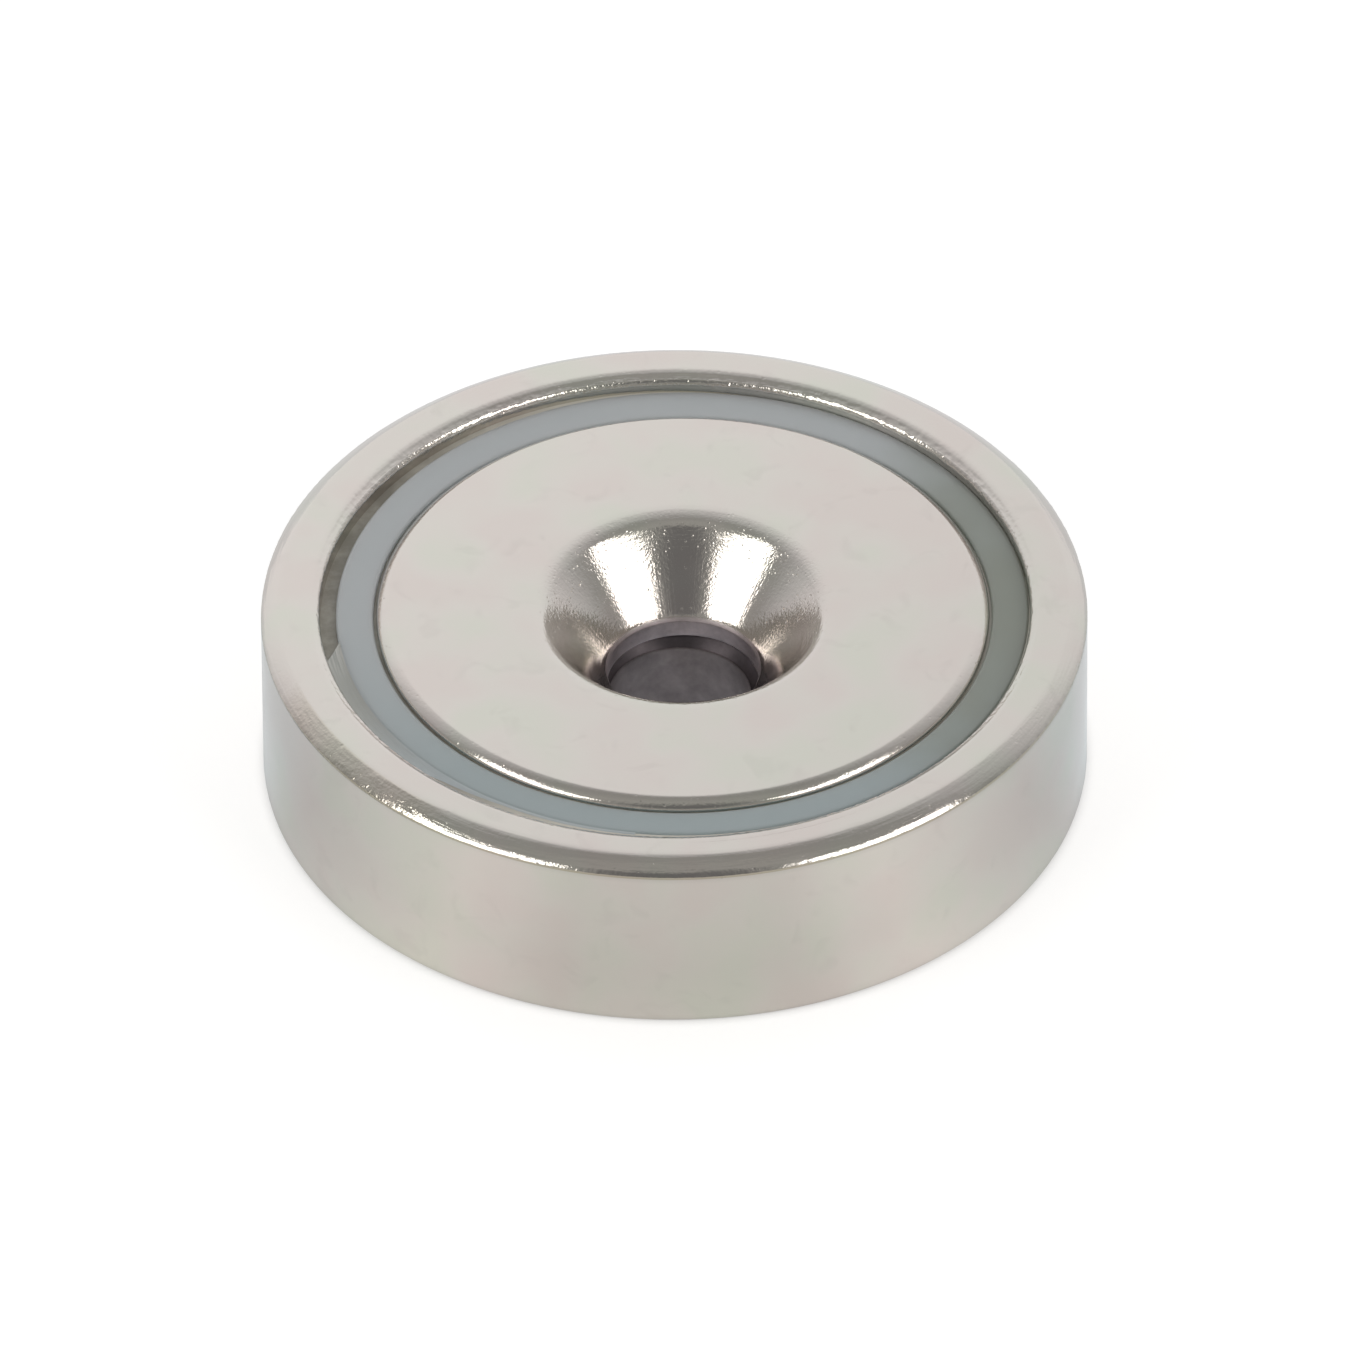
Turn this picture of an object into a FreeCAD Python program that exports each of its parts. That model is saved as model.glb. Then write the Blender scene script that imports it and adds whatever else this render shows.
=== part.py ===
import FreeCAD, Part
import math
import os

# Countersunk pot magnet: a ring magnet with a countersunk hole, set in a steel cup.
# All lengths are in millimetres and all angles in degrees. The origin is the middle of the
# cup's back face, and +Z runs along the cup's axis, out of the holding face.

# Steel cup, turned in one piece. Its screw hole sits slightly off its axis, towards +X
cup_diameter = 32.0
cup_height = 7.8
wall_thickness = 2.25
base_thickness = 3.5
screw_hole_diameter = 5.5
screw_hole_shift = 0.2

# Rim edges of the cup. They leave the flat rim as an arc and stop at the wall in a corner. A
# tilt is the angle between the arc's surface and the rim. The outer edge is a small arc next to
# the rim, and then a long shallow one that is nearly a chamfer
rim_blend_radius = 0.68
rim_blend_tilt = 31.0
rim_crown_radius = 3.2
rim_crown_tilt = 45.0
rim_inner_radius = 1.05
rim_inner_tilt = 50.0

# Other edges of the cup
back_edge_chamfer = 0.2
screw_hole_lip_chamfer = 0.4
screw_hole_back_chamfer = 0.2

# Plastic spacer ring. Its gap is the one that it would leave all round in the middle of the cup,
# and its top lies a step below the magnet's face
spacer_gap = 0.345
spacer_width = 1.43
spacer_step = 0.35
spacer_top_chamfer = 0.1

# Ring magnet, which fills the spacer ring and lies a little below the rim. Its hole opens into a
# cone for a countersunk screw head, whose diameter is the one at its theoretical corner with
# the magnet's face
magnet_clearance = 0.1
magnet_recess = 0.3
magnet_edge_radius = 0.5
magnet_back_chamfer = 0.3
magnet_hole_allowance = 0.4
countersink_angle = 85.0
countersink_diameter = 11.5
countersink_mouth_radius = 1.5

# The magnet and its spacer were pushed over towards +X before the adhesive set. This is what
# is left of the gap on that side
near_gap = 0.01

# Cured adhesive: a bead that fills the open side of the gap to just below the spacer's top and
# drops a little towards the cup's wall
bead_step = 0.1
bead_drop = 0.1
bead_start_direction = 188.0
bead_end_direction = 262.0

# Sizes that follow from the ones above
cup_radius = cup_diameter / 2
bore_radius = cup_radius - wall_thickness
screw_hole_radius = screw_hole_diameter / 2
spacer_outer_radius = bore_radius - spacer_gap
spacer_inner_radius = spacer_outer_radius - spacer_width
magnet_radius = spacer_inner_radius - magnet_clearance
magnet_hole_radius = (screw_hole_diameter + magnet_hole_allowance) / 2
magnet_face_height = cup_height - magnet_recess
spacer_top_height = magnet_face_height - spacer_step
magnet_shift = spacer_gap - near_gap

full_turn = 360
axis_point = FreeCAD.Vector(0, 0, 0)
axis_direction = FreeCAD.Vector(0, 0, 1)
shift_direction = FreeCAD.Vector(1, 0, 0)


def at(radius, height):
    # Point of an outline: its distance from the axis and its height
    return FreeCAD.Vector(radius, 0, height)


def sharp(radius, height):
    return [at(radius, height)]


def chamfered(before, corner, after, size):
    # Two points, at the same distance from the corner along each of its sides
    to_before = (at(*before) - at(*corner)).normalize()
    to_after = (at(*after) - at(*corner)).normalize()
    return [at(*corner) + to_before * size, at(*corner) + to_after * size]


def rounded(before, corner, after, radius):
    # Arc tangent to both sides of the corner: its first, middle and last point
    to_before = (at(*before) - at(*corner)).normalize()
    to_after = (at(*after) - at(*corner)).normalize()
    half_angle = to_before.getAngle(to_after) / 2
    reach = radius / math.tan(half_angle)
    inward = (to_before + to_after).normalize()
    centre = at(*corner) + inward * (radius / math.sin(half_angle))
    return [at(*corner) + to_before * reach, centre - inward * radius, at(*corner) + to_after * reach]


def rim_arc(start, radius, start_tilt, end_tilt, side):
    # Arc that climbs from its start towards the rim while its tilt falls: first, middle and last
    # point. side is 1 on the outer edge and -1 on the inner edge
    def at_tilt(tilt):
        inset = radius * (math.sin(math.radians(start_tilt)) - math.sin(math.radians(tilt)))
        return start + at(-side * inset, rim_climb(radius, start_tilt, tilt))
    return [at_tilt(start_tilt), at_tilt((start_tilt + end_tilt) / 2), at_tilt(end_tilt)]


def rim_climb(radius, start_tilt, end_tilt):
    return radius * (math.cos(math.radians(end_tilt)) - math.cos(math.radians(start_tilt)))


def turned(corners):
    # Solid of revolution. A corner is one point, the two ends of a chamfer, or the points of one
    # arc or of two arcs that follow each other
    edges = []
    for corner, following in zip(corners, corners[1:] + corners[:1]):
        if len(corner) == 2:
            edges.append(Part.LineSegment(*corner).toShape())
        for first, middle, last in zip(corner[0::2], corner[1::2], corner[2::2]):
            edges.append(Part.Arc(first, middle, last).toShape())
        edges.append(Part.LineSegment(corner[-1], following[0]).toShape())
    return Part.Face(Part.Wire(edges)).revolve(axis_point, axis_direction, full_turn)


def steel_cup():
    outer_climb = (rim_climb(rim_crown_radius, rim_crown_tilt, rim_blend_tilt)
                   + rim_climb(rim_blend_radius, rim_blend_tilt, 0))
    outer_corner = at(cup_radius, cup_height - outer_climb)
    crown = rim_arc(outer_corner, rim_crown_radius, rim_crown_tilt, rim_blend_tilt, 1)
    blend = rim_arc(crown[-1], rim_blend_radius, rim_blend_tilt, 0, 1)
    inner_corner = at(bore_radius, cup_height - rim_climb(rim_inner_radius, rim_inner_tilt, 0))
    inner_edge = rim_arc(inner_corner, rim_inner_radius, rim_inner_tilt, 0, -1)
    cup = turned([
        sharp(0, 0),
        chamfered((0, 0), (cup_radius, 0), (cup_radius, cup_height), back_edge_chamfer),
        crown + blend[1:],
        inner_edge[::-1],
        sharp(bore_radius, base_thickness),
        sharp(0, base_thickness),
    ])
    hole = turned([
        sharp(0, 0),
        sharp(screw_hole_radius + screw_hole_back_chamfer, 0),
        sharp(screw_hole_radius, screw_hole_back_chamfer),
        sharp(screw_hole_radius, base_thickness - screw_hole_lip_chamfer),
        sharp(screw_hole_radius + screw_hole_lip_chamfer, base_thickness),
        sharp(0, base_thickness),
    ])
    hole.translate(shift_direction * screw_hole_shift)
    return cup.cut(hole)


def ring_magnet():
    # The cone's side runs from the straight part of the hole to its corner with the face
    cone_slope = math.tan(math.radians(countersink_angle / 2))
    mouth_radius = countersink_diameter / 2
    cone_depth = (mouth_radius - magnet_hole_radius) / cone_slope
    hole_back = (magnet_hole_radius, base_thickness)
    back_edge = (magnet_radius, base_thickness)
    face_edge = (magnet_radius, magnet_face_height)
    mouth = (mouth_radius, magnet_face_height)
    cone_end = (magnet_hole_radius, magnet_face_height - cone_depth)
    magnet = turned([
        sharp(*hole_back),
        chamfered(hole_back, back_edge, face_edge, magnet_back_chamfer),
        rounded(back_edge, face_edge, mouth, magnet_edge_radius),
        rounded(face_edge, mouth, cone_end, countersink_mouth_radius),
        sharp(*cone_end),
    ])
    magnet.translate(shift_direction * magnet_shift)
    return magnet


def spacer_ring():
    inner_foot = (spacer_inner_radius, base_thickness)
    outer_foot = (spacer_outer_radius, base_thickness)
    outer_top = (spacer_outer_radius, spacer_top_height)
    inner_top = (spacer_inner_radius, spacer_top_height)
    spacer = turned([
        sharp(*inner_foot),
        sharp(*outer_foot),
        chamfered(outer_foot, outer_top, inner_top, spacer_top_chamfer),
        chamfered(outer_top, inner_top, inner_foot, spacer_top_chamfer),
    ])
    spacer.translate(shift_direction * magnet_shift)
    return spacer


def adhesive():
    # The bead's section reaches into the spacer, which is then cut away from it. Its top slopes
    # over the width that the gap has at its widest
    bead_top = spacer_top_height - bead_step
    section = [
        at(spacer_inner_radius, base_thickness),
        at(bore_radius, base_thickness),
        at(bore_radius, bead_top - bead_drop),
        at(spacer_outer_radius - magnet_shift, bead_top),
        at(spacer_inner_radius, bead_top),
    ]
    edges = [Part.LineSegment(a, b).toShape() for a, b in zip(section, section[1:] + section[:1])]
    face = Part.Face(Part.Wire(edges))
    face.rotate(axis_point, axis_direction, bead_start_direction)
    bead = face.revolve(axis_point, axis_direction, bead_end_direction - bead_start_direction)
    return bead.cut(spacer_ring())


os.makedirs("parts", exist_ok=True)
for sub_part in (steel_cup, ring_magnet, spacer_ring, adhesive):
    shape = sub_part()
    print(sub_part.__name__, shape.isValid(), len(shape.Solids), round(shape.Volume, 2))
    shape.exportStep("parts/" + sub_part.__name__ + ".step")
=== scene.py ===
import math
import bpy
from mathutils import Matrix, Vector


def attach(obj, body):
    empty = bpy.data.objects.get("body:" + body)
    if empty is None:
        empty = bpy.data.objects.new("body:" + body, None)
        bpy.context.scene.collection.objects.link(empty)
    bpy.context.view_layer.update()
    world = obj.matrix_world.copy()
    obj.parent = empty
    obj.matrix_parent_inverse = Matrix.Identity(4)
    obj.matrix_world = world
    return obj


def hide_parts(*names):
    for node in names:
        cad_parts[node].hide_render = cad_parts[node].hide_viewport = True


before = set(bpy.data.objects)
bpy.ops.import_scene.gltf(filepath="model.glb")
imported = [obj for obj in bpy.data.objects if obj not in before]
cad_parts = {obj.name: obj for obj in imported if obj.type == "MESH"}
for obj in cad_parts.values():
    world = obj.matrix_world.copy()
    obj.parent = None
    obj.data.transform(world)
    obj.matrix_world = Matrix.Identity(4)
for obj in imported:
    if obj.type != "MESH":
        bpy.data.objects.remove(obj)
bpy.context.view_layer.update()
mm = 0.001
sectors = 12  # in a full turn

# Helpers for modelling


def pointOnArc(middle, radius, angle):
    return (middle[0] + radius * math.cos(math.radians(angle)),
            middle[1] + radius * math.sin(math.radians(angle)))


def arc(middle, radius, start, end, steps):
    # points of a section's arc, from the start angle to the end angle
    return [pointOnArc(middle, radius, start + (end - start) * i / steps) for i in range(steps + 1)]


def roundedCorner(before, corner, after, radius, steps):
    # arc tangent to both sides of a section's corner
    a, b, c = Vector(before), Vector(corner), Vector(after)
    toBefore, toAfter = (a - b).normalized(), (c - b).normalized()
    half = toBefore.angle(toAfter) / 2
    middle = b + (toBefore + toAfter).normalized() * (radius / math.sin(half))
    first = b + toBefore * (radius / math.tan(half)) - middle
    last = b + toAfter * (radius / math.tan(half)) - middle
    start = math.degrees(math.atan2(first.y, first.x))
    turn = (math.degrees(math.atan2(last.y, last.x)) - start + 180) % 360 - 180
    return arc(middle, radius, start, start + turn, steps)


longStretch = 0.5  # mm, from where on a straight stretch gets support rings


def supported(section, gaps):
    # adds rings near each end of the long straight stretches, which keeps them flat when shaded
    points = section[:1]
    for before, after in zip(section, section[1:]):
        a, b = Vector(before), Vector(after)
        if (b - a).length > longStretch:
            along = (b - a).normalized()
            points += [tuple(a + along * gap) for gap in gaps]
            points += [tuple(b - along * gap) for gap in reversed(gaps)]
        points.append(after)
    return points


def pickVertices(mesh, rule):
    # selects the vertices whose place in millimetres follows the rule
    bpy.ops.mesh.select_all(action="DESELECT")
    bpy.ops.object.mode_set(mode="OBJECT")
    for vertex in mesh.vertices:
        vertex.select = rule(vertex.co / mm)
    bpy.ops.object.mode_set(mode="EDIT")


def startSection(name, point):
    # a new mesh with one vertex, from which a section is drawn by extruding
    bpy.ops.object.select_all(action="DESELECT")
    bpy.ops.mesh.primitive_plane_add(size=mm, location=(0, 0, 0))
    piece = bpy.context.object
    piece.name = name
    piece.data.name = name
    bpy.ops.object.mode_set(mode="EDIT")
    bpy.ops.mesh.select_mode(type="VERT")
    bpy.ops.mesh.merge(type="CENTER")
    bpy.ops.transform.translate(value=(point[0] * mm, 0, point[1] * mm))
    return piece


def turn(name, section, steps, start=0, angle=360):
    # a solid of revolution from a closed section of (radius, height) points in millimetres. A full
    # turn is one sector, which is then repeated
    piece = startSection(name, section[0])
    for before, after in zip(section, section[1:]):
        move = ((after[0] - before[0]) * mm, 0, (after[1] - before[1]) * mm)
        bpy.ops.mesh.extrude_region_move(TRANSFORM_OT_translate={"value": move})
    bpy.ops.mesh.select_all(action="SELECT")
    axis = {"center": (0, 0, 0), "axis": (0, 0, 1)}
    if angle < 360:
        bpy.ops.mesh.edge_face_add()
        bpy.ops.transform.rotate(value=math.radians(-start), orient_axis="Z", center_override=(0, 0, 0))
        bpy.ops.mesh.spin(steps=steps, angle=math.radians(-angle), **axis)
    else:
        bpy.ops.mesh.spin(steps=steps // sectors, angle=2 * math.pi / sectors, **axis)
        bpy.ops.mesh.select_all(action="SELECT")
        bpy.ops.mesh.spin(steps=sectors - 1, angle=2 * math.pi * (sectors - 1) / sectors, dupli=True, **axis)
    bpy.ops.mesh.select_all(action="SELECT")
    bpy.ops.mesh.remove_doubles(threshold=0.001 * mm)
    bpy.ops.mesh.normals_make_consistent(inside=False)
    return piece


def chipCorners(piece, corners, wear):
    # tumbling nicks a thin corner, given as the middle and the radius of its arc: the rings near it
    # are pushed inwards by an uneven amount, in full up to wear["full"] radii from the middle
    bpy.ops.object.mode_set(mode="OBJECT")
    group = piece.vertex_groups.new(name="corners")
    for vertex in piece.data.vertices:
        place = Vector((math.hypot(vertex.co.x, vertex.co.y), vertex.co.z)) / mm
        for middle, radius in corners:
            nearness = 1 - ((place - Vector(middle)).length - wear["full"] * radius) / wear["reach"]
            if nearness > 0:
                group.add([vertex.index], min(1, nearness), "REPLACE")
    nicks = bpy.data.textures.new("tumblingNicks", "CLOUDS")
    nicks.noise_scale = wear["size"] * mm
    nicks.noise_depth = 2
    bpy.ops.object.modifier_add(type="DISPLACE")
    push = piece.modifiers[-1]
    push.texture = nicks
    push.texture_coords = "LOCAL"
    push.vertex_group = "corners"
    push.mid_level = 0
    push.strength = -wear["depth"] * mm
    bpy.ops.object.modifier_apply(modifier=push.name)
    bpy.ops.object.mode_set(mode="EDIT")


def finishPiece(piece, node, material, sharpness):
    # node is the CAD node that the piece stands for, or None
    bpy.ops.object.mode_set(mode="OBJECT")
    bpy.ops.object.shade_smooth_by_angle(angle=math.radians(sharpness))
    piece.data.materials.clear()
    piece.data.materials.append(material)
    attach(piece, "root")
    if node:
        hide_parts(node)
    print("made", piece.name, len(piece.data.polygons), "faces")


# Helpers for materials


def hexColour(code):
    # sRGB hex to the linear colour that the shaders take
    parts = [int(code[i:i + 2], 16) / 255 for i in (0, 2, 4)]
    return tuple(c / 12.92 if c <= 0.04045 else ((c + 0.055) / 1.055) ** 2.4 for c in parts) + (1,)


def grey(level):
    return (level, level, level, 1)


def addNode(tree, kind, inputs={}, **settings):
    # adds a node. An input takes a number, a colour, an output, or a node for its first output
    node = tree.nodes.new("ShaderNode" + kind)
    for key, value in settings.items():
        setattr(node, key, value)
    for key, value in inputs.items():
        if isinstance(value, bpy.types.Node):
            tree.links.new(value.outputs[0], node.inputs[key])
        elif isinstance(value, bpy.types.NodeSocket):
            tree.links.new(value, node.inputs[key])
        else:
            node.inputs[key].default_value = value
    return node


def startMaterial(name):
    print("making material", name)
    material = bpy.data.materials.new(name)
    material.use_nodes = True
    material.node_tree.nodes.clear()
    return material, material.node_tree


def fillRamp(ramp, tones):
    # tones: places from 0 to 1 with their colour
    while len(ramp.elements) < len(tones):
        ramp.elements.new(1.0)
    for element, (place, colour) in zip(ramp.elements, tones):
        element.position = place
        element.color = tuple(colour)[:3] + (1,)


def ringCoordinates(tree, shift):
    # direction from the axis, distance from it and height, from the place on the object
    place = addNode(tree, "TexCoord")
    centred = addNode(tree, "Mapping", {"Vector": place.outputs["Object"], "Location": (-shift * mm, 0, 0)})
    parts = addNode(tree, "SeparateXYZ", {"Vector": centred})
    flat = addNode(tree, "CombineXYZ", {"X": parts.outputs["X"], "Y": parts.outputs["Y"]})
    direction = addNode(tree, "VectorMath", {0: flat}, operation="NORMALIZE")
    distance = addNode(tree, "VectorMath", {0: flat}, operation="LENGTH")
    return {"place": centred.outputs["Vector"], "direction": direction.outputs["Vector"],
            "distance": distance.outputs["Value"], "height": parts.outputs["Z"],
            "x": parts.outputs["X"], "y": parts.outputs["Y"]}


def sweptCoordinates(tree, rings, aroundTurn, across, upwards):
    # stretched coordinates without a seam: features per turn, per mm of radius and per mm of height
    turned = addNode(tree, "VectorMath", {0: rings["direction"], "Scale": aroundTurn / (2 * math.pi)},
                     operation="SCALE")
    lift = addNode(tree, "Math", {0: rings["height"], 1: upwards / mm}, operation="MULTIPLY")
    out = addNode(tree, "Math", {0: rings["distance"], 1: across / mm, 2: lift}, operation="MULTIPLY_ADD")
    raised = addNode(tree, "CombineXYZ", {"Z": out})
    return addNode(tree, "VectorMath", {0: turned, 1: raised}, operation="ADD")


sideFade = 0.03  # how softly a zone ends that lies on one side, as a cosine


def zoneMask(tree, rings, zone):
    # 1 in a band round the axis: between two distances from it and two heights, with soft ends. It
    # can be limited to one side of the axis
    limits = (
        (rings["distance"], zone["from"], zone["from"] + zone["fade"]),
        (rings["distance"], zone["to"] + zone["fade"], zone["to"]),
        (rings["height"], zone["above"], zone["above"] + zone["fade"]),
        (rings["height"], zone["below"] + zone["fade"], zone["below"]),
    )
    mask = 1.0
    for value, outside, inside in limits:
        limit = addNode(tree, "MapRange", {"Value": value, "From Min": outside * mm,
                                           "From Max": inside * mm}, interpolation_type="SMOOTHSTEP")
        mask = addNode(tree, "Math", {0: limit, 1: mask}, operation="MULTIPLY")
    if "towards" in zone:
        nearness = addNode(tree, "VectorMath", {0: rings["direction"], 1: zone["towards"]},
                           operation="DOT_PRODUCT")
        stretch = addNode(tree, "MapRange", {"Value": nearness.outputs["Value"], "From Min": zone["reach"],
                                             "From Max": zone["reach"] + sideFade})
        mask = addNode(tree, "Math", {0: mask, 1: stretch}, operation="MULTIPLY")
    return mask


dotShape = {
    "rim": 0.42,             # where a dot starts, in cells from its middle
    "core": 0.08,            # where it is deepest
    "choice": 0.05,          # how softly a cell gets its dot or not
}


def sparseDots(tree, rings, spacing, threshold):
    # small round dots in cells of the given spacing, fewer with a higher threshold
    cells = addNode(tree, "TexVoronoi", {"Vector": rings["place"], "Scale": 1 / (spacing * mm)})
    dot = addNode(tree, "MapRange", {"Value": cells.outputs["Distance"], "From Min": dotShape["rim"],
                                     "From Max": dotShape["core"]}, interpolation_type="SMOOTHSTEP")
    chosen = addNode(tree, "MapRange", {"Value": cells.outputs["Color"], "From Min": threshold,
                                        "From Max": threshold + dotShape["choice"]})
    return addNode(tree, "Math", {0: dot, 1: chosen}, operation="MULTIPLY")


# Bright nickel on tumbled steel: a smooth, slightly warm mirror with faint pink and green clouds
# where the plating is a little thicker or thinner. Edges have fine pits and the tool's lines, and
# the outer corner is tinted slightly olive and darker as a painted dark reflection
nickelLook = {
    "warm": "D4CFC9",
    "green": "D1D0C7",
    "pink": "D4CCC7",
    "cloud": 4.0,            # mm across a cloud of colour
    "cloudSpread": 0.14,     # from the middle level of the noise to where it is all pink or green
    # painted light and shade: the faces are made lighter towards the back left and darker towards the front
    # right
    "paintedLightBackLeft": 1.0,         # brightness of the faces towards the back left and the front right
    "paintedShadeFrontRight": 0.92,
    "across": 15.0,          # mm from the axis to those two, as x minus y
    "faces": (6.9, 7.1),     # mm: only what lies higher counts as a face
    "smudge": 1.5,           # mm across the faint dull smudges
    "smudgeNoise": (0.58, 0.72),    # levels of noise where a smudge starts and where it is full
    "smudgeTone": 0.965,
    "haze": 2.8,             # mm across its dull clouds
    "hazeNoise": (0.35, 0.7),
    "mirror": 0.09,          # roughness of clean plating
    "hazy": 0.16,            # roughness of the dull clouds
    "grain": 0.16,           # mm between the fine pits; real ones are finer and wouldn't show
    "grainDepth": 0.0005,    # mm
    "pinholes": 0.3,         # mm across the cells, few of which hold a pinhole
    "pinholesFrom": 0.86,    # higher makes them fewer
    "pinholeDepth": 0.003,
    "holePatch": 0.9,        # mm. Plating barely reaches into the hole: grey, dull, patchy metal
    "holeNoise": (0.3, 0.7),
    "holeTones": (0.78, 1.2),
    "holeRoughness": 0.42,
    "lipFade": 0.02,         # mm
}


def platingColour(tree, rings, look):
    clouds = addNode(tree, "TexNoise", {"Vector": rings["place"], "Scale": 1 / (look["cloud"] * mm),
                                        "Detail": 2.0})
    tones = addNode(tree, "ValToRGB", {"Fac": clouds})
    fillRamp(tones.color_ramp, [(0.5 - look["cloudSpread"], hexColour(look["pink"])),
                                (0.5, hexColour(look["warm"])),
                                (0.5 + look["cloudSpread"], hexColour(look["green"]))])
    # painted shade: the faces grow darker towards the front right; the faint dull smudges are mixed in too
    across = addNode(tree, "Math", {0: rings["x"], 1: rings["y"]}, operation="SUBTRACT")
    paintedShadeOnFaces = addNode(tree, "MapRange", {
        "Value": rings["height"], "From Min": look["faces"][0] * mm, "From Max": look["faces"][1] * mm,
        "To Min": 1.0, "To Max": look["paintedShadeFrontRight"]})
    light = addNode(tree, "MapRange", {
        "Value": across, "From Min": -look["across"] * mm, "From Max": look["across"] * mm,
        "To Min": look["paintedLightBackLeft"], "To Max": paintedShadeOnFaces})
    smears = addNode(tree, "TexNoise", {"Vector": rings["place"], "Scale": 1 / (look["smudge"] * mm),
                                        "Detail": 2.0, "Roughness": 0.6, "Distortion": 0.8})
    smudges = addNode(tree, "MapRange", {
        "Value": smears, "From Min": look["smudgeNoise"][0], "From Max": look["smudgeNoise"][1],
        "To Min": 1.0, "To Max": look["smudgeTone"]})
    light = addNode(tree, "Math", {0: light, 1: smudges}, operation="MULTIPLY")
    return addNode(tree, "VectorMath", {0: tones, "Scale": light}, operation="SCALE").outputs[0]


def platingHeight(tree, rings, look):
    # fine pits all over, and a few pinholes
    grain = addNode(tree, "TexNoise", {"Vector": rings["place"], "Scale": 1 / (look["grain"] * mm),
                                       "Detail": 2.0, "Roughness": 0.65})
    height = addNode(tree, "Math", {0: grain, 1: look["grainDepth"] * mm}, operation="MULTIPLY")
    pinholes = sparseDots(tree, rings, look["pinholes"], look["pinholesFrom"])
    return addNode(tree, "Math", {0: pinholes, 1: -look["pinholeDepth"] * mm, 2: height},
                   operation="MULTIPLY_ADD")


def platingRoughness(tree, rings, look):
    haze = addNode(tree, "TexNoise", {"Vector": rings["place"], "Scale": 1 / (look["haze"] * mm),
                                      "Detail": 2.0, "Roughness": 0.6})
    return addNode(tree, "MapRange", {
        "Value": haze, "From Min": look["hazeNoise"][0], "From Max": look["hazeNoise"][1],
        "To Min": look["mirror"], "To Max": look["hazy"]}, interpolation_type="SMOOTHSTEP")


def edgeMarks(tree, rings, edge):
    # height of one edge's marks: fine pits, on some edges lines left by the tool, and deeper dots
    pits = addNode(tree, "TexNoise", {"Vector": rings["place"], "Scale": 1 / (edge["pit"] * mm),
                                      "Detail": 2.0, "Roughness": 0.6})
    marks = addNode(tree, "Math", {0: pits, 1: edge["pitDepth"] * mm}, operation="MULTIPLY")
    if "lines" in edge:
        swept = sweptCoordinates(tree, rings, *edge["lines"])
        lines = addNode(tree, "TexNoise", {"Vector": swept, "Scale": 1.0, "Detail": 1.0})
        marks = addNode(tree, "Math", {0: lines, 1: edge["lineDepth"] * mm, 2: marks},
                        operation="MULTIPLY_ADD")
    dots = sparseDots(tree, rings, edge["dot"], edge["dotFrom"])
    return addNode(tree, "Math", {0: dots, 1: -edge["dotDepth"] * mm, 2: marks}, operation="MULTIPLY_ADD")


def holeColour(tree, rings, holeRings, look, hole):
    # mottled, with a lip in a second colour, which in the cup's hole is painted shade
    patches = addNode(tree, "TexNoise", {"Vector": rings["place"], "Scale": 1 / (look["holePatch"] * mm),
                                         "Detail": 4.0, "Roughness": 0.65})
    mottled = addNode(tree, "MapRange", {
        "Value": patches, "From Min": look["holeNoise"][0], "From Max": look["holeNoise"][1],
        "To Min": look["holeTones"][0], "To Max": look["holeTones"][1]})
    lip = addNode(tree, "MapRange", {"Value": holeRings["distance"], "From Min": hole["lipStart"] * mm,
                                     "From Max": (hole["lipStart"] + look["lipFade"]) * mm})
    wall = addNode(tree, "Mix", {0: lip, 6: hexColour(hole["wall"]), 7: hexColour(hole["lip"])},
                   data_type="RGBA")
    return addNode(tree, "VectorMath", {0: wall.outputs[2], "Scale": mottled}, operation="SCALE")


def nickel(name, look, shift, hole, edges):
    material, tree = startMaterial(name)
    rings = ringCoordinates(tree, shift)
    colour = platingColour(tree, rings, look)
    height = platingHeight(tree, rings, look)
    for edge in edges:
        near = zoneMask(tree, rings, edge)
        marks = edgeMarks(tree, rings, edge)
        height = addNode(tree, "Math", {0: marks, 1: near, 2: height}, operation="MULTIPLY_ADD")
        # a tint: worn plating in the knocked-about zone, and painted shade at the outer corner
        if "tint" in edge:
            colour = addNode(tree, "Mix", {0: near, 6: colour, 7: hexColour(edge["tint"])},
                             data_type="RGBA", blend_type="MULTIPLY").outputs[2]
    holeRings = ringCoordinates(tree, hole["shift"])
    inside = zoneMask(tree, holeRings, hole)
    wall = holeColour(tree, rings, holeRings, look, hole)
    colour = addNode(tree, "Mix", {0: inside, 6: colour, 7: wall}, data_type="RGBA")
    clean = platingRoughness(tree, rings, look)
    roughness = addNode(tree, "Mix", {0: inside, 2: clean, 3: look["holeRoughness"]}, data_type="FLOAT")
    bump = addNode(tree, "Bump", {"Height": height, "Strength": 1.0, "Distance": 1.0})
    shader = addNode(tree, "BsdfPrincipled", {"Base Color": colour.outputs[2], "Metallic": 1.0,
                                              "Roughness": roughness.outputs[0], "Normal": bump})
    addNode(tree, "OutputMaterial", {"Surface": shader})
    return material


# Moulded nylon: blue-grey and slightly see-through, so that it glows softly at its edges. It is
# painted paler at the back as painted light, and olive on its right side as painted shade
nylonLook = {
    "blue": "97A2A5",
    "pale": "A9AEB1",
    "paintedShadeOlive": "82877F",
    "paintedShadeEdge": (0.65, 1.2),       # where it starts and is full, by the X of the direction
    "patch": 3.0,            # mm across the patches that break up that edge
    "patchReach": 0.3,
    "paintedLightTurn": -0.45,       # the pale side, which is painted light, lies at the back, a little to the left
    "paintedLightEdge": (-0.6, 0.6),
    "roughness": 0.33,
    "seeThrough": 0.7,
    "depth": 2.0,            # mm that light travels in it
    "depthTint": (0.9, 1.0, 1.0),
    "flow": (60, 3, 3),      # flow marks per turn, per mm across and per mm of height
    "flowDepth": 0.006,      # mm
}


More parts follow.
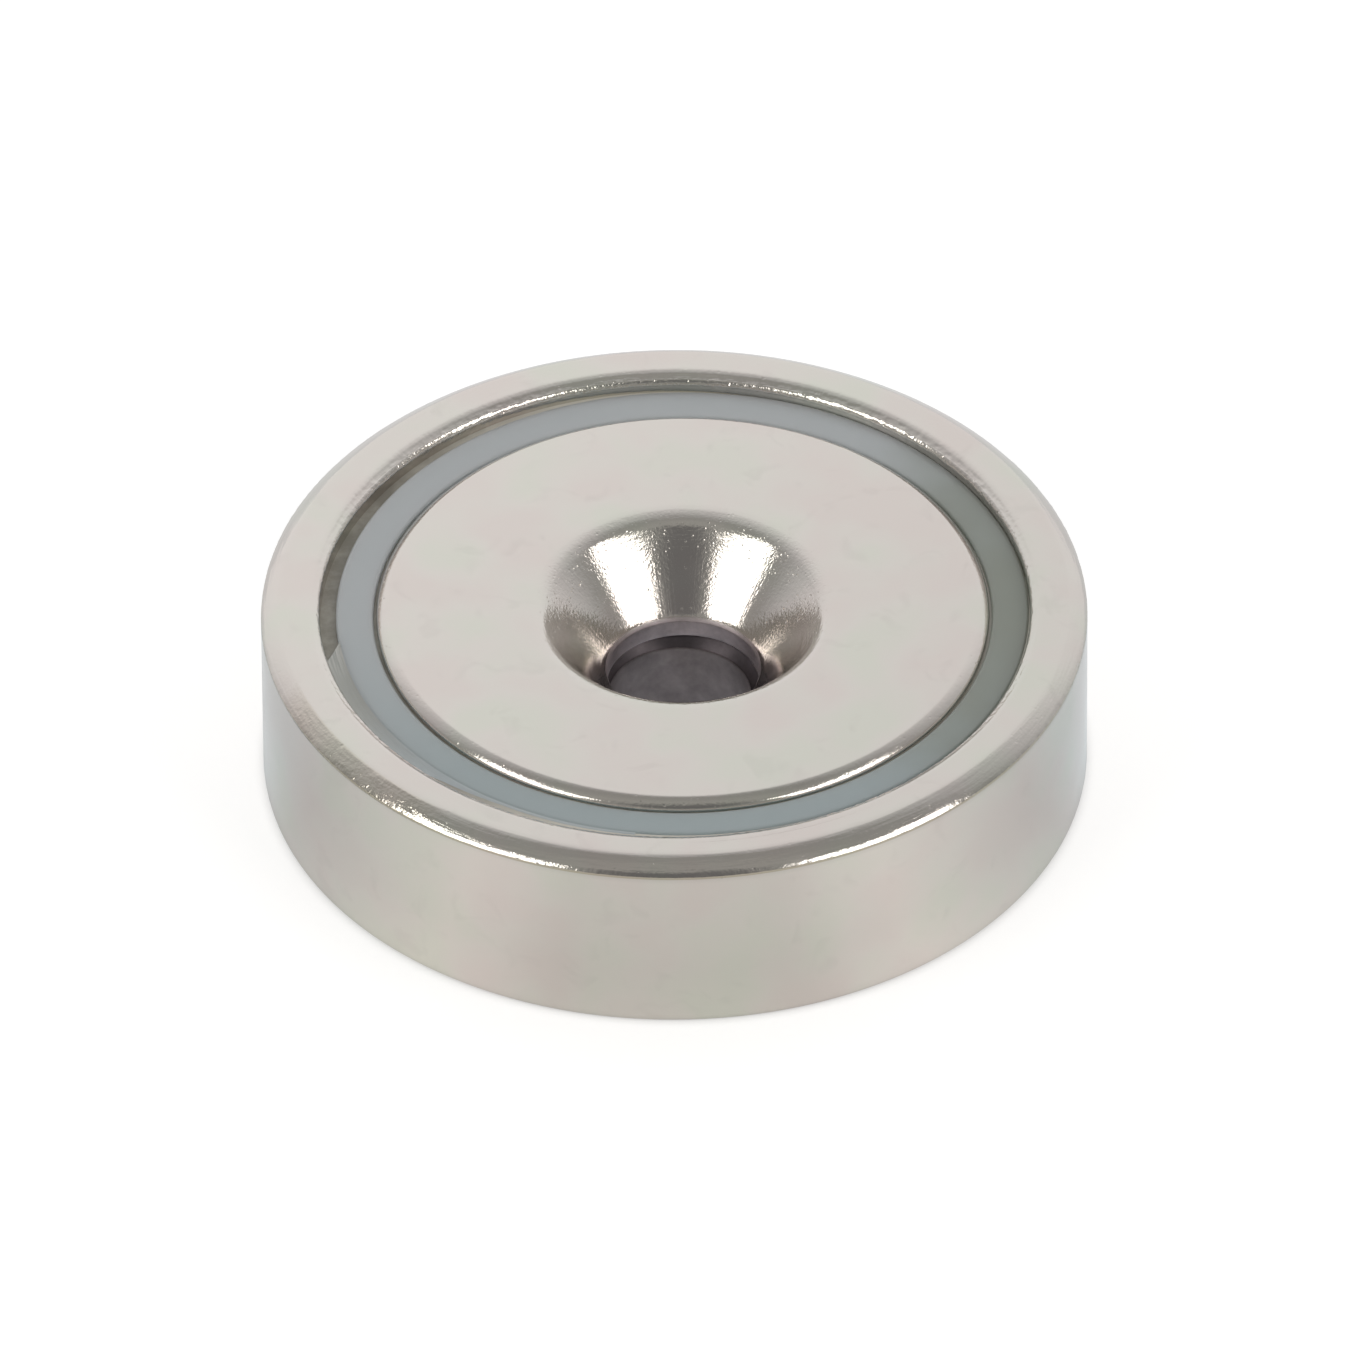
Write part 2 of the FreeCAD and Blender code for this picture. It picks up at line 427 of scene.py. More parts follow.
def nylon(name, look, shift):
    material, tree = startMaterial(name)
    rings = ringCoordinates(tree, shift)
    parts = addNode(tree, "SeparateXYZ", {"Vector": rings["direction"]})
    patches = addNode(tree, "TexNoise", {"Vector": rings["place"], "Scale": 1 / (look["patch"] * mm)})
    right = addNode(tree, "Math", {0: patches, 1: look["patchReach"], 2: parts.outputs["X"]},
                    operation="MULTIPLY_ADD")
    # painted shade: olive on the right side
    paintedShadeOlive = addNode(tree, "MapRange", {"Value": right, "From Min": look["paintedShadeEdge"][0],
                                       "From Max": look["paintedShadeEdge"][1]}, interpolation_type="SMOOTHSTEP")
    # painted light: paler at the back
    back = addNode(tree, "Math", {0: parts.outputs["X"], 1: look["paintedLightTurn"], 2: parts.outputs["Y"]},
                   operation="MULTIPLY_ADD")
    pale = addNode(tree, "MapRange", {"Value": back, "From Min": look["paintedLightEdge"][0],
                                      "From Max": look["paintedLightEdge"][1]}, interpolation_type="SMOOTHSTEP")
    colour = addNode(tree, "Mix", {0: pale, 6: hexColour(look["blue"]), 7: hexColour(look["pale"])},
                     data_type="RGBA")
    colour = addNode(tree, "Mix", {0: paintedShadeOlive, 6: colour.outputs[2], 7: hexColour(look["paintedShadeOlive"])},
                     data_type="RGBA")
    swept = sweptCoordinates(tree, rings, *look["flow"])
    flow = addNode(tree, "TexNoise", {"Vector": swept, "Scale": 1.0, "Detail": 4.0})
    bump = addNode(tree, "Bump", {"Height": flow, "Strength": 1.0, "Distance": look["flowDepth"] * mm})
    shader = addNode(tree, "BsdfPrincipled", {
        "Base Color": colour.outputs[2], "Roughness": look["roughness"], "Normal": bump,
        "Subsurface Weight": look["seeThrough"], "Subsurface Scale": look["depth"] * mm,
        "Subsurface Radius": look["depthTint"]})
    addNode(tree, "OutputMaterial", {"Surface": shader})
    return material


# Cured epoxy: grey and glassy, with streaks where it was drawn out as it set; their pale colour is partly a
# painted highlight
epoxyLook = {
    "grey": "A9ABA7",
    "blue": "B5BEC2",        # towards its far end, where the spacer shows through
    "pale": "CDCDC9",
    "farEnd": (-0.4, -0.75),        # where the blue starts and is full, by the Y of the direction
    "streaks": (40, 14, 0),  # per turn, per mm across and per mm of height
    "streakNoise": (0.4, 0.6),
    "streakDepth": 0.02,     # mm
    "streakTurn": (197.0, 186.9),   # degrees round the axis where they start and where all show
    "roughness": 0.22,
    "seeThrough": 0.3,
    "depth": 0.5,            # mm that light travels in it
    "depthTint": (1.0, 1.0, 0.9),
}


def epoxy(name, look):
    material, tree = startMaterial(name)
    rings = ringCoordinates(tree, 0)
    parts = addNode(tree, "SeparateXYZ", {"Vector": rings["direction"]})
    drawn = addNode(tree, "MapRange", {"Value": parts.outputs["Y"],
                                       "From Min": math.sin(math.radians(look["streakTurn"][0])),
                                       "From Max": math.sin(math.radians(look["streakTurn"][1]))})
    swept = sweptCoordinates(tree, rings, *look["streaks"])
    streaks = addNode(tree, "TexNoise", {"Vector": swept, "Scale": 1.0, "Detail": 3.0, "Roughness": 0.6})
    strong = addNode(tree, "MapRange", {"Value": streaks, "From Min": look["streakNoise"][0],
                                        "From Max": look["streakNoise"][1]})
    # pale streaks: drawn-out epoxy, whose pale colour is partly a painted highlight
    pale = addNode(tree, "Math", {0: drawn, 1: strong}, operation="MULTIPLY")
    far = addNode(tree, "MapRange", {"Value": parts.outputs["Y"], "From Min": look["farEnd"][0],
                                     "From Max": look["farEnd"][1]})
    colour = addNode(tree, "Mix", {0: far, 6: hexColour(look["grey"]), 7: hexColour(look["blue"])},
                     data_type="RGBA")
    colour = addNode(tree, "Mix", {0: pale, 6: colour.outputs[2], 7: hexColour(look["pale"])},
                     data_type="RGBA")
    bump = addNode(tree, "Bump", {"Height": streaks, "Strength": 1.0, "Distance": look["streakDepth"] * mm})
    shader = addNode(tree, "BsdfPrincipled", {
        "Base Color": colour.outputs[2], "Roughness": look["roughness"], "Normal": bump,
        "Subsurface Weight": look["seeThrough"], "Subsurface Scale": look["depth"] * mm,
        "Subsurface Radius": look["depthTint"]})
    addNode(tree, "OutputMaterial", {"Surface": shader})
    return material


# Epoxy that seeped into the gaps: a dull film, olive-brown in patches, partly as painted shade in the gaps,
# and paler on one side as painted light
seepageLook = {
    "darkerPatches": "827F76",
    "lighterPatches": "A3A097",
    "pale": "C2BFB6",        # away from the open side: painted light
    "paintedLightEdge": (-11, -4),   # mm along X where that starts and is full
    "patch": 1.2,            # mm across its patches
    "patchNoise": (0.4, 0.7),
    "patchDepth": 0.03,      # mm
    "roughness": 0.5,
}


def seepage(name, look):
    material, tree = startMaterial(name)
    rings = ringCoordinates(tree, 0)
    patches = addNode(tree, "TexNoise", {"Vector": rings["place"], "Scale": 1 / (look["patch"] * mm),
                                         "Detail": 4.0, "Roughness": 0.6})
    lighterPatches = addNode(tree, "MapRange", {"Value": patches, "From Min": look["patchNoise"][0],
                                      "From Max": look["patchNoise"][1]})
    colour = addNode(tree, "Mix", {0: lighterPatches, 6: hexColour(look["darkerPatches"]), 7: hexColour(look["lighterPatches"])},
                     data_type="RGBA")
    # painted light: paler away from the open side
    away = addNode(tree, "MapRange", {"Value": rings["x"], "From Min": look["paintedLightEdge"][0] * mm,
                                      "From Max": look["paintedLightEdge"][1] * mm})
    colour = addNode(tree, "Mix", {0: away, 6: colour.outputs[2], 7: hexColour(look["pale"])},
                     data_type="RGBA")
    bump = addNode(tree, "Bump", {"Height": patches, "Strength": 1.0, "Distance": look["patchDepth"] * mm})
    shader = addNode(tree, "BsdfPrincipled", {"Base Color": colour.outputs[2],
                                              "Roughness": look["roughness"], "Normal": bump})
    addNode(tree, "OutputMaterial", {"Surface": shader})
    return material


# Steel cup

cup = {
    "radius": 16.0, "height": 7.8, "bore": 13.735, "floor": 3.5,
    "outside": {"flat": 15.035, "blend": 0.68, "blendTilt": 31.0, "crown": 3.5, "crownTilt": 43.3},
    "inside": {"flat": 14.38, "blend": 0.53, "blendTilt": 22.0, "crown": 2.1, "crownTilt": 31.0},
    "boreShift": (0.03, -0.10), "boreRings": (13.3, 14.5),
    "backEdge": 0.2, "floorCorner": 0.3,
    "hole": 2.75, "holeShift": 0.2, "holeLip": 0.4, "holeBack": 0.2, "lipBreak": 0.15,
    "nicks": {"size": 0.18, "depth": 0.034, "reach": 0.05, "full": 1.05},
    "supports": (0.1, 0.2), "steps": 900,
}
# zones of wear, where one also holds painted shade: between two distances from the axis and two
# heights, where -1 and 8.0 lie outside the piece. Pits, dots and depths are in mm, and lines are per
# turn, per mm across and per mm of height
cupEdges = [
    # outer edge, and its corner with the wall, whose olive, darker tint is a painted dark reflection
    {"from": 15.15, "to": 16.5, "above": 7.05, "below": 8.0, "fade": 0.15,
     "pit": 0.13, "pitDepth": 0.005, "dot": 0.2, "dotFrom": 0.8, "dotDepth": 0.004,
     "lines": (60, 9, 0), "lineDepth": 0.009},
    {"from": 15.9, "to": 16.5, "above": 7.12, "below": 7.22, "fade": 0.02, "tint": "E2DED2",
     "pit": 0.12, "pitDepth": 0.006, "dot": 0.18, "dotFrom": 0.6, "dotDepth": 0.012},
    # inner edge, and its corner with the bore
    {"from": 13.4, "to": 14.3, "above": 7.0, "below": 8.0, "fade": 0.12,
     "pit": 0.13, "pitDepth": 0.006, "dot": 0.2, "dotFrom": 0.75, "dotDepth": 0.005,
     "lines": (420, 2.5, 0), "lineDepth": 0.007},
    {"from": 13.4, "to": 14.0, "above": 7.34, "below": 7.58, "fade": 0.03,
     "pit": 0.13, "pitDepth": 0.012, "dot": 0.2, "dotFrom": 0.6, "dotDepth": 0.012},
    # where the outer edge was knocked about most, at the front left
    {"from": 15.25, "to": 16.5, "above": 7.1, "below": 8.0, "fade": 0.12, "tint": "F2F0EB",
     "towards": (-0.8, -0.6, 0), "reach": 0.945,
     "pit": 0.2, "pitDepth": 0.018, "dot": 0.25, "dotFrom": 0.7, "dotDepth": 0.008,
     "lines": (150, 5, 0), "lineDepth": 0.018},
]
# the lip's dark colour is painted shade, of the gap under the magnet
cupHole = {"shift": cup["holeShift"], "from": -1, "to": 3.4, "above": 0.15, "below": 4.0, "fade": 0.08,
           "lipStart": 2.753, "wall": "A49C9D", "lip": "4E494C"}


def rimEdge(edge, wall, height, side):
    # from the flat rim to the wall: a small arc, a long shallow one and a tight one that meets the
    # wall. A tilt is the angle between an arc's surface and the rim
    def stretch(middle, radius, first, last, steps):
        return arc(middle, radius, 90 - side * first, 90 - side * last, steps)
    blendMiddle = (edge["flat"], height - edge["blend"])
    crownMiddle = pointOnArc(blendMiddle, edge["blend"] - edge["crown"], 90 - side * edge["blendTilt"])
    reach = side * (wall - crownMiddle[0])
    sine = math.sin(math.radians(edge["crownTilt"]))
    tight = (reach - edge["crown"] * sine) / (1 - sine)
    tightMiddle = pointOnArc(crownMiddle, edge["crown"] - tight, 90 - side * edge["crownTilt"])
    points = (stretch(blendMiddle, edge["blend"], 0, edge["blendTilt"], steps=6)
              + stretch(crownMiddle, edge["crown"], edge["blendTilt"], edge["crownTilt"], steps=8)[1:]
              + stretch(tightMiddle, tight, edge["crownTilt"], 90, steps=7)[1:])
    return points, (tightMiddle, tight)


outerEdge, outerCorner = rimEdge(cup["outside"], cup["radius"], cup["height"], side=1)
innerEdge, innerCorner = rimEdge(cup["inside"], cup["bore"], cup["height"], side=-1)


def cupSection(c):
    holeBack = (c["hole"] + c["holeBack"], 0)
    holeFoot = (c["hole"], c["holeBack"])
    holeTop = (c["hole"], c["floor"] - c["holeLip"])
    lipTop = (c["hole"] + c["holeLip"], c["floor"])
    floorCorner = (c["bore"], c["floor"])
    return (
        [holeBack, holeFoot]
        + roundedCorner(holeFoot, holeTop, lipTop, c["lipBreak"], steps=4)
        + roundedCorner(holeTop, lipTop, floorCorner, c["lipBreak"], steps=4)
        + roundedCorner(lipTop, floorCorner, (c["bore"], c["height"]), c["floorCorner"], steps=4)
        + innerEdge[::-1]
        + outerEdge
        + roundedCorner((c["radius"], c["height"]), (c["radius"], 0), (0, 0), c["backEdge"], steps=5)
        + [holeBack]
    )


cupNickel = nickel("brightNickelOnTurnedSteel", nickelLook, 0, cupHole, cupEdges)
steelCup = turn("steel_cup_turned", supported(cupSection(cup), cup["supports"]), cup["steps"])
chipCorners(steelCup, [outerCorner, innerCorner], cup["nicks"])
# the bore and the hole sit a little off the axis: their rings are moved in the plane of the base
pickVertices(steelCup.data, lambda p: cup["boreRings"][0] < math.hypot(p.x, p.y) < cup["boreRings"][1]
             and p.z > 0.5 * cup["floor"])
bpy.ops.transform.translate(value=(cup["boreShift"][0] * mm, cup["boreShift"][1] * mm, 0))
pickVertices(steelCup.data, lambda p: math.hypot(p.x, p.y) < cup["hole"] + 2 * cup["holeLip"])
bpy.ops.transform.translate(value=(cup["holeShift"] * mm, 0, 0))
finishPiece(steelCup, "steel_cup", cupNickel, sharpness=40)

# Ring magnet

magnet = {
    "shift": 0.335, "radius": 11.875, "back": cup["floor"], "face": 7.5,
    "edgeStart": 11.369, "edgeRadii": (0.25, 1.3, 0.35), "edgeTilts": (28, 44, 62), "backEdge": 0.3,
    "mouth": 6.35, "mouthRounding": 1.5, "coneTilt": 46.0, "footTilt": 52.9, "foot": 4.26,
    "footRounding": 0.12, "hole": 2.95, "holeBack": 0.12,
    "supports": (0.1,), "steps": 720,
}
magnetEdges = [
    # outer edge
    {"from": 11.25, "to": 12.5, "above": 6.5, "below": 8.0, "fade": 0.1,
     "pit": 0.13, "pitDepth": 0.006, "dot": 0.18, "dotFrom": 0.7, "dotDepth": 0.006,
     "lines": (60, 6, 3), "lineDepth": 0.003},
    # cone, and the upper part of its wall
    {"from": 2.9, "to": 5.9, "above": 4.1, "below": 8.0, "fade": 0.2,
     "pit": 0.13, "pitDepth": 0.008, "dot": 0.17, "dotFrom": 0.8, "dotDepth": 0.006,
     "lines": (260, 0, 0), "lineDepth": 0.003},
    {"from": 4.5, "to": 5.6, "above": 5.0, "below": 8.0, "fade": 0.3,
     "pit": 0.11, "pitDepth": 0.004, "dot": 0.15, "dotFrom": 0.65, "dotDepth": 0.007,
     "lines": (14, 0, 11), "lineDepth": 0.005},
]
# the hole's wall and lip are paler than the plating itself: painted light
magnetHole = {"shift": magnet["shift"], "from": -1, "to": 2.98, "above": 3.0, "below": 8.0, "fade": 0.08,
              "lipStart": 2.99, "wall": "DBD1D4", "lip": "DBD1D4"}


def coneCurve(m):
    # from the face into the hole: a round mouth, and a wall that grows a little steeper on its way
    # down. A tilt is the angle between the surface and the face
    mouthMiddle = (m["mouth"], m["face"] - m["mouthRounding"])
    mouth = arc(mouthMiddle, m["mouthRounding"], 90, 90 + m["coneTilt"], steps=14)
    depth = mouth[-1][1] - m["foot"]
    wallRadius = depth / (math.cos(math.radians(m["coneTilt"])) - math.cos(math.radians(m["footTilt"])))
    wallMiddle = pointOnArc(mouthMiddle, m["mouthRounding"] - wallRadius, 90 + m["coneTilt"])
    return mouth + arc(wallMiddle, wallRadius, 90 + m["coneTilt"], 90 + m["footTilt"], steps=16)[1:]


def faceEdgeCurve(m):
    # from the face to the side: arcs of growing tilt, and a last one that meets the side
    middle = (m["edgeStart"], m["face"] - m["edgeRadii"][0])
    tilts = (0,) + m["edgeTilts"]
    points = []
    for radius, following, first, last in zip(m["edgeRadii"], m["edgeRadii"][1:] + (0,), tilts, tilts[1:]):
        points += arc(middle, radius, 90 - first, 90 - last, steps=7)[:-1]
        if not following:
            reach = m["radius"] - middle[0]
            sine = math.sin(math.radians(last))
            following = (reach - radius * sine) / (1 - sine)
        middle = pointOnArc(middle, radius - following, 90 - last)
    return points + arc(middle, following, 90 - last, 0, steps=4)


def magnetSection(m):
    cone = coneCurve(m)
    coneFoot = (m["hole"], m["foot"])
    holeBack = (m["hole"], m["back"])
    backEdge = (m["radius"], m["back"])
    faceEdge = (m["radius"], m["face"])
    first = roundedCorner(coneFoot, holeBack, backEdge, m["holeBack"], steps=3)
    return (
        first
        + roundedCorner(holeBack, backEdge, faceEdge, m["backEdge"], steps=5)
        + faceEdgeCurve(m)[::-1]
        + cone[:-1]
        + roundedCorner(cone[-2], coneFoot, holeBack, m["footRounding"], steps=4)
        + first[:1]
    )


magnetNickel = nickel("brightNickelOnSinteredMagnet", nickelLook, magnet["shift"], magnetHole, magnetEdges)
ringMagnet = turn("ring_magnet_ground", supported(magnetSection(magnet), magnet["supports"]),
                  magnet["steps"])
bpy.ops.mesh.select_all(action="SELECT")
bpy.ops.transform.translate(value=(magnet["shift"] * mm, 0, 0))
finishPiece(ringMagnet, "ring_magnet", magnetNickel, sharpness=25)

# Spacer ring

spacer = {
    "shift": 0.32, "inner": 11.975, "outer": 13.42, "foot": cup["floor"], "top": 7.15, "edge": 0.12,
    "backward": 0.14,        # the outer side leans this far back, until it meets the wall
    "leaning": 0.5,          # mm that counts as the outer side
    "wallPlay": 0.02,        # mm left between it and the wall
    "supports": (0.1,), "steps": 360,
}


def spacerSection(s):
    innerFoot = (s["inner"], s["foot"])
    outerFoot = (s["outer"], s["foot"])
    outerTop = (s["outer"], s["top"])
    innerTop = (s["inner"], s["top"])
    return (
        [innerFoot, outerFoot]
        + roundedCorner(outerFoot, outerTop, innerTop, s["edge"], steps=5)
        + roundedCorner(outerTop, innerTop, innerFoot, s["edge"], steps=5)
        + [innerFoot]
    )


spacerPlastic = nylon("mouldedNylon", nylonLook, spacer["shift"])
spacerRing = turn("spacer_ring_moulded", supported(spacerSection(spacer), spacer["supports"]),
                  spacer["steps"])
bpy.ops.mesh.select_all(action="SELECT")
bpy.ops.transform.translate(value=(spacer["shift"] * mm, 0, 0))
bpy.ops.object.mode_set(mode="OBJECT")
boreMiddle = Vector(cup["boreShift"] + (0,))
for vertex in spacerRing.data.vertices:
    place = vertex.co / mm
    if math.hypot(place.x - spacer["shift"], place.y) > spacer["outer"] - spacer["leaning"]:
        place.y += spacer["backward"]
        level = Vector((place.x, place.y, 0)) - boreMiddle
        over = level.length - (cup["bore"] - spacer["wallPlay"])
        if over > 0:
            place -= level.normalized() * over
        vertex.co = place * mm
finishPiece(spacerRing, "spacer_ring", spacerPlastic, sharpness=30)

# Adhesive: a bead in the open side of the gap, and films that seeped in beside the spacer. The
# outermost ring is just inside the steel

outerGap = {
    "inner": 13.36, "outer": 13.745, "foot": cup["floor"],
    "innerShift": (spacer["shift"], spacer["backward"] / 2), "outerShift": cup["boreShift"],
}
bead = {
    **outerGap, "innerTop": 7.135, "outerTop": 6.98,
    "fall": 4.0,             # 1 is a straight slope across the top, more falls away from the inner wall
    "start": 187.0, "end": 262.0, "lean": 4.0,  # degrees
    "steps": 220,
}
outerFilm = {
    **outerGap, "innerTop": 7.08, "outerTop": 7.05, "fall": 1.0,
    "dip": 0.14, "dipStart": -7.0, "dipEnd": -12.0,  # lower on the open side, by place along X
    "steps": 360,
}
innerFilm = {
    "inner": 11.86, "outer": 11.99, "foot": cup["floor"], "innerTop": 6.96, "outerTop": 6.96, "fall": 1.0,
    "innerShift": (magnet["shift"], 0), "outerShift": (spacer["shift"], 0),
    "steps": 360,
}
topSteps = 12


def adhesiveSection(a):
    # the top climbs the inner wall, in a steep curve where it wets the wall well
    points = [(a["inner"], a["foot"]), (a["outer"], a["foot"])]
    for i in range(topSteps + 1):
        t = i / topSteps
        points.append((a["outer"] + (a["inner"] - a["outer"]) * t,
                       a["outerTop"] + (a["innerTop"] - a["outerTop"]) * t ** a["fall"]))
    return points + points[:1]


def fitAdhesive(piece, a):
    # moves the rings sideways to fit the two walls, which aren't round the same axis, and skews
    # the start of a bead
    bpy.ops.object.mode_set(mode="OBJECT")
    for vertex in piece.data.vertices:
        place = vertex.co / mm
        t = (math.hypot(place.x, place.y) - a["inner"]) / (a["outer"] - a["inner"])
        if "lean" in a:
            around = math.degrees(math.atan2(place.y, place.x)) % 360
            skew = a["lean"] * t * (a["end"] - around) / (a["end"] - a["start"])
            place = Matrix.Rotation(math.radians(skew), 3, "Z") @ place
        if "dip" in a and place.z > a["foot"]:
            place.z -= a["dip"] * min(1, max(0, (place.x - a["dipStart"]) / (a["dipEnd"] - a["dipStart"])))
        for axis in (0, 1):
            place[axis] += a["innerShift"][axis] * (1 - t) + a["outerShift"][axis] * t
        vertex.co = place * mm
    bpy.ops.object.mode_set(mode="EDIT")


curedAdhesive = epoxy("curedEpoxy", epoxyLook)
seepedAdhesive = seepage("seepedEpoxy", seepageLook)
adhesiveBead = turn("adhesive_bead_drawn", adhesiveSection(bead), bead["steps"], bead["start"],
                    bead["end"] - bead["start"])
fitAdhesive(adhesiveBead, bead)
finishPiece(adhesiveBead, "adhesive", curedAdhesive, sharpness=40)

# the films fill the gaps, and their olive-brown colour is partly painted shade there
for name, film in (("adhesive_film_outside", outerFilm), ("adhesive_film_inside", innerFilm)):
    filmRing = turn(name, adhesiveSection(film), film["steps"])
    fitAdhesive(filmRing, film)
    finishPiece(filmRing, None, seepedAdhesive, sharpness=40)

# Floor, light and camera

stage = {
    "floor": 3.0,            # m across
    "floorColour": "C9C9C9",
    "floorRoughness": 0.9,
    "floorGlow": 0.6,        # what the floor adds for the camera, where 1 is white
    "glowEdge": (15.6, 16.4),       # mm from the axis: little glow under the object, all of it outside
    "glowUnder": 0.5,
    "lift": 1.2,             # the paper passes on more light close to the object, up to this far
    "liftEnd": 19.0,         # mm from the axis
    "leftTint": (0.92, 0.95, 0.99, 1),    # of the light that it passes on
    "rightTint": (1.0, 1.05, 1.11, 1),
    "boxTurn": 57.0,         # softboxes: degrees either side of the camera
    "boxHeight": 32.0,       # degrees above the floor
    "boxDistance": 1.0,      # m, as are the two sizes
    "boxWidth": 0.66,
    "boxTall": 0.46,
    "boxGlow": 3.0,          # radiance of a softbox, where 1 is white
    "boxColour": (1.0, 0.97, 0.93),
    "shade": 0.19,           # radiance around the camera
    "shadeCore": 8.0,        # degrees from the camera where it is darkest
    "shadeWidth": 24.0,      # degrees from the camera where it ends
    "backdropLean": 0.4,     # the white backdrop's edge runs overhead
    "backdropEdge": 0.5,
    "backdropCurl": 0.12,    # and it curls forward at the sides
}
# light that the paper passes on to the object's shiny faces, by how far its direction from the
# axis points to the back (1) or the front (-1): most between the camera and the softboxes
floorTones = [(-1.0, (0.315, 0.305, 0.28)), (-0.95, (0.315, 0.305, 0.28)), (-0.87, (0.42, 0.395, 0.37)),
              (-0.78, (0.46, 0.43, 0.40)), (-0.66, (0.40, 0.39, 0.365)), (-0.50, (0.325, 0.33, 0.315)),
              (-0.28, (0.25, 0.25, 0.25)), (-0.05, (0.26, 0.29, 0.30)), (1.0, (0.34, 0.34, 0.34))]
# the room, by how far a direction lies past the backdrop's edge: white behind the object, grey
# overhead and dim on the camera's side
roomTones = [(-0.8, 0.36, 0.345), (-0.575, 0.43, 0.41), (-0.4, 0.38, 0.365), (-0.25, 0.36, 0.35),
             (-0.12, 0.46, 0.455), (0.03, 0.60, 0.60), (0.1, 0.64, 0.64), (0.2, 0.77, 0.77),
             (0.25, 0.84, 0.84), (0.34, 0.95, 0.95), (0.45, 1.0, 1.0)]  # place, red and green, blue
view = {
    "sensor": 36.0,          # mm
    "lens": 768.32,
    "distance": 1.125676,    # m
    "elevation": 39.827,     # degrees
    "roll": -0.382,
    "aimRight": 0.207 * mm,  # where the camera looks, beside and above the point on the axis
    "aimUp": -0.181 * mm,
    "aimHeight": 4.0 * mm,
}
elevation = math.radians(view["elevation"])
backwards = Vector((0, -math.cos(elevation), math.sin(elevation)))
upwards = Vector((0, math.sin(elevation), math.cos(elevation)))


def studioPaper(name, s, tones):
    # white for the camera, apart from the object's shadow
    material, tree = startMaterial(name)
    rings = ringCoordinates(tree, 0)
    around = addNode(tree, "SeparateXYZ", {"Vector": rings["direction"]})
    back = addNode(tree, "MapRange", {"Value": around.outputs["Y"], "From Min": -1.0, "From Max": 1.0})
    bounce = addNode(tree, "ValToRGB", {"Fac": back})
    fillRamp(bounce.color_ramp, [(0.5 + 0.5 * y, tone) for y, tone in tones])
    right = addNode(tree, "MapRange", {"Value": around.outputs["X"], "From Min": -1.0, "From Max": 1.0})
    tint = addNode(tree, "Mix", {0: right, 6: s["leftTint"], 7: s["rightTint"]}, data_type="RGBA")
    lift = addNode(tree, "MapRange", {
        "Value": rings["distance"], "From Min": cup["radius"] * mm, "From Max": s["liftEnd"] * mm,
        "To Min": s["lift"], "To Max": 1.0})
    tint = addNode(tree, "VectorMath", {0: tint.outputs[2], "Scale": lift}, operation="SCALE")
    bounce = addNode(tree, "VectorMath", {0: bounce, 1: tint}, operation="MULTIPLY")
    rays = addNode(tree, "LightPath")
    glow = addNode(tree, "Mix", {0: rays.outputs["Is Camera Ray"], 6: bounce, 7: grey(s["floorGlow"])},
                   data_type="RGBA")
    seen = addNode(tree, "Math", {0: rays.outputs["Is Camera Ray"], 1: rays.outputs["Is Glossy Ray"]},
                   operation="MAXIMUM")
    seen = addNode(tree, "Math", {0: seen, 1: rays.outputs["Is Transmission Ray"]}, operation="MAXIMUM")
    clear = addNode(tree, "MapRange", {
        "Value": rings["distance"], "From Min": s["glowEdge"][0] * mm, "From Max": s["glowEdge"][1] * mm,
        "To Min": s["glowUnder"]}, interpolation_type="SMOOTHSTEP")
    strength = addNode(tree, "Math", {0: seen, 1: clear}, operation="MULTIPLY")
    shader = addNode(tree, "BsdfPrincipled", {
        "Base Color": hexColour(s["floorColour"]), "Roughness": s["floorRoughness"],
        "Specular IOR Level": 0.0, "Emission Color": glow.outputs[2], "Emission Strength": strength})
    addNode(tree, "OutputMaterial", {"Surface": shader})
    return material


